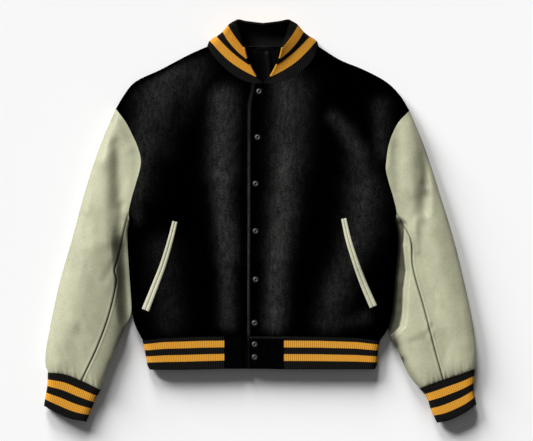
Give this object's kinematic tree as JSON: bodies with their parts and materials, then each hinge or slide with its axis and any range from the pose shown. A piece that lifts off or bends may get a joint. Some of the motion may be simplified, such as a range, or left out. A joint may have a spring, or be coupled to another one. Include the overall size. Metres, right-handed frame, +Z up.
{
  "type": "varsity jacket laid flat",
  "caption": "Varsity jacket laid flat, face up: wool body, leather sleeves, striped rib collar, cuffs and hem, snap front, slanted welt pockets.",
  "frame": {"origin": "middle of the outline, on the surface that the jacket lies on", "axes": "+X towards the wearer's left, across the sleeves; +Y towards the collar; +Z up, out of the front"},
  "size_m": [0.886, 0.8246, 0.0451],
  "materials": {
    "wool": "matte brushed melton wool",
    "leather": "smooth semi-matte",
    "welt_leather": "smooth semi-matte",
    "rib_knit": "ribbed knit with gold stripes",
    "snap_metal": "dark gunmetal, semi-gloss",
    "lining": "satin"
  },
  "bodies": {
    "root": {"back": "wool", "front_right": "wool", "front_left": "wool", "sleeve_right_top": "leather", "sleeve_right_under": "leather", "sleeve_left_top": "leather", "sleeve_left_under": "leather", "cuff_right": "rib_knit", "cuff_left": "rib_knit", "hem_rib": "rib_knit", "hem_tab_right": "wool", "hem_tab_left": "wool", "collar": "rib_knit", "snap_1": "snap_metal", "snap_2": "snap_metal", "snap_3": "snap_metal", "snap_4": "snap_metal", "snap_5": "snap_metal", "snap_6": "snap_metal", "snap_7": "snap_metal", "snap_8": "snap_metal", "welt_right_inner": "welt_leather", "welt_right_outer": "welt_leather", "welt_left_inner": "welt_leather", "welt_left_outer": "welt_leather", "back_lining": "lining", "hanger_loop": "lining"}
  },
  "joints": []
}
